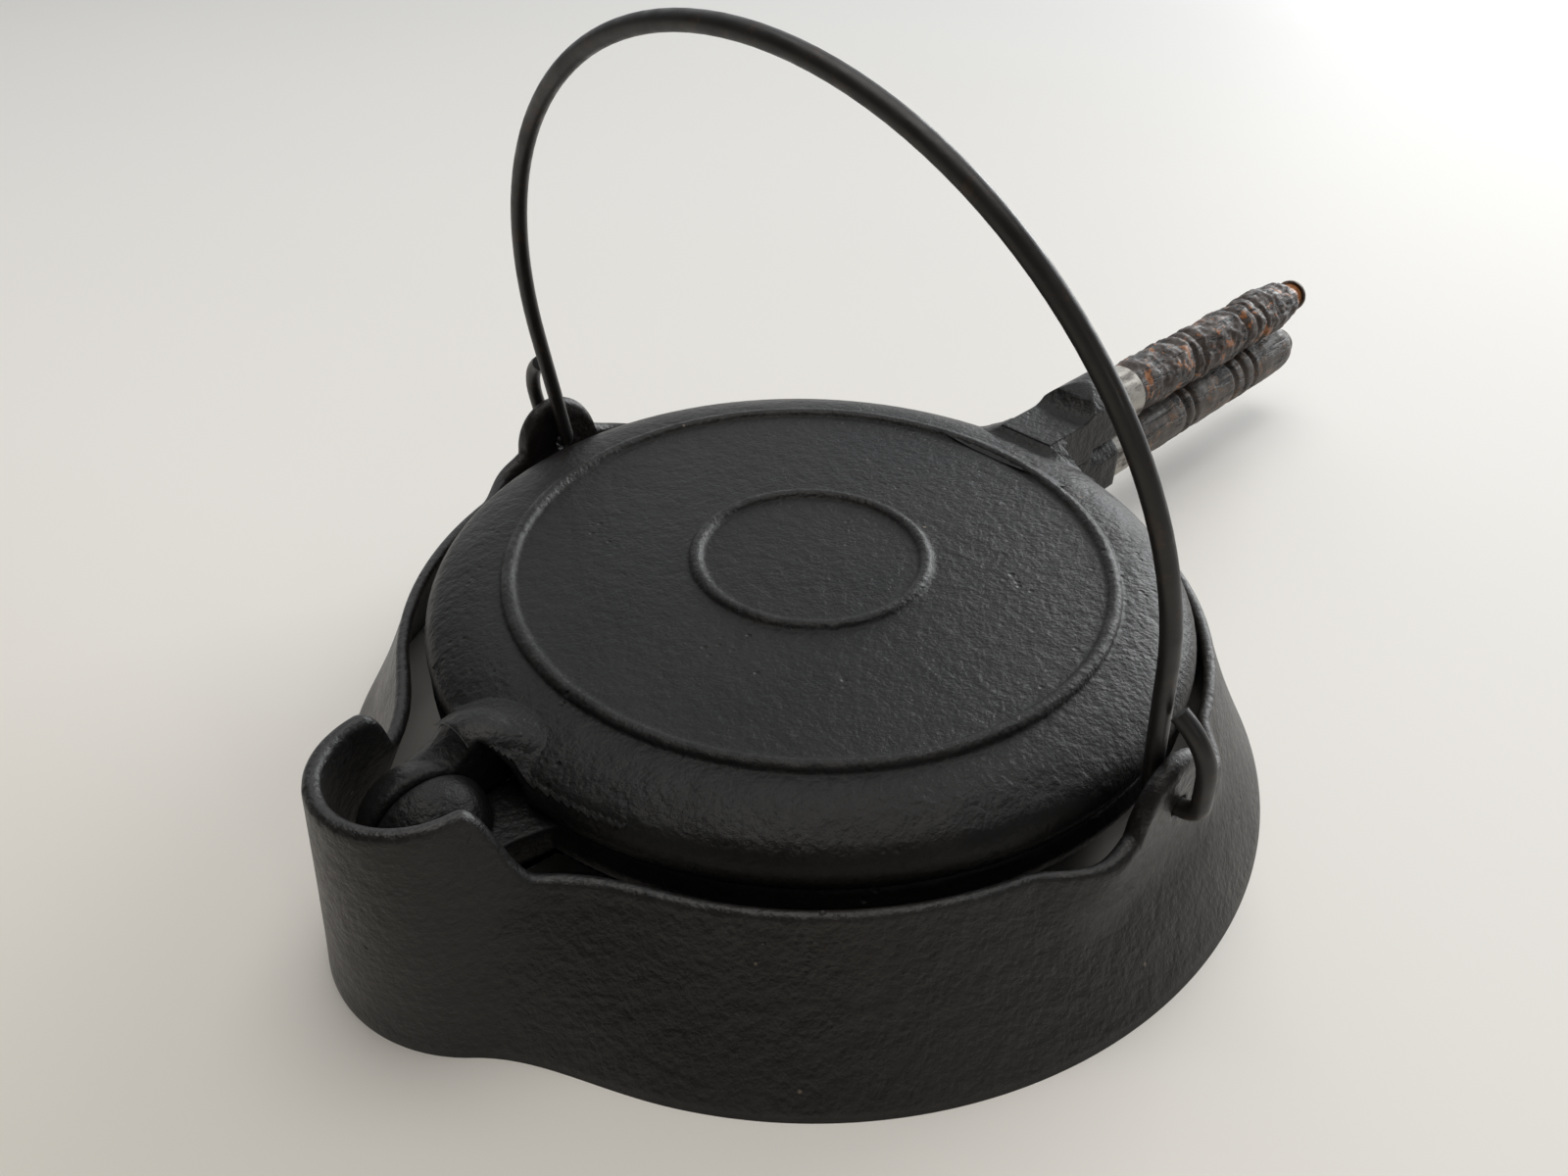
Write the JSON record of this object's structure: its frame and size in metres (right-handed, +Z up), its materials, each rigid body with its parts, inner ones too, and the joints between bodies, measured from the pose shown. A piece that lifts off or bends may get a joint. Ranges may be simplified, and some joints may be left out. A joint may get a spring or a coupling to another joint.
{
  "type": "stovetop waffle iron",
  "caption": "Cast-iron stovetop waffle iron: two hinged round pans that turn over on a ball in a flared ring stand with a wire bail and turned wood handles.",
  "frame": {"origin": "centre of the ring stand on the surface it stands on", "axes": "+Z up, +X along the handles away from the ball socket, +Y to the left looking from the socket to the handles"},
  "size_m": [0.3904, 0.237, 0.1764],
  "materials": {
    "stand_iron": "satin",
    "pan_iron": "satin",
    "bail_wire": "satin",
    "ferrule_steel": "worn",
    "charred_wood": "charred",
    "worn_wood": "worn",
    "rod_steel": "worn"
  },
  "bodies": {
    "stand": {"base_stand": "stand_iron"},
    "bail": {"bail": "bail_wire"},
    "lower_half": {"lower_paddle": "pan_iron", "lower_ferrule": "ferrule_steel", "lower_grip": "worn_wood", "lower_rod": "rod_steel", "lower_end_nut": "rod_steel"},
    "upper_half": {"upper_paddle": "pan_iron", "upper_ferrule": "ferrule_steel", "upper_grip": "charred_wood", "upper_rod": "rod_steel", "upper_end_nut": "rod_steel"}
  },
  "joints": [
    {"name": "bail_swing", "type": "hinge", "parent": "stand", "child": "bail", "pos_m": [0, 0, 0.0422], "axis": [0, 1, 0], "range_deg": [-76, 93]},
    {"name": "iron_flip", "type": "hinge", "parent": "stand", "child": "lower_half", "pos_m": [-0.109, 0, 0.036], "axis": [1, 0, 0], "range_deg": [-180, 0]},
    {"name": "lid_open", "type": "hinge", "parent": "lower_half", "child": "upper_half", "pos_m": [-0.109, 0, 0.036], "axis": [0, -1, 0], "range_deg": [0, 28]}
  ]
}
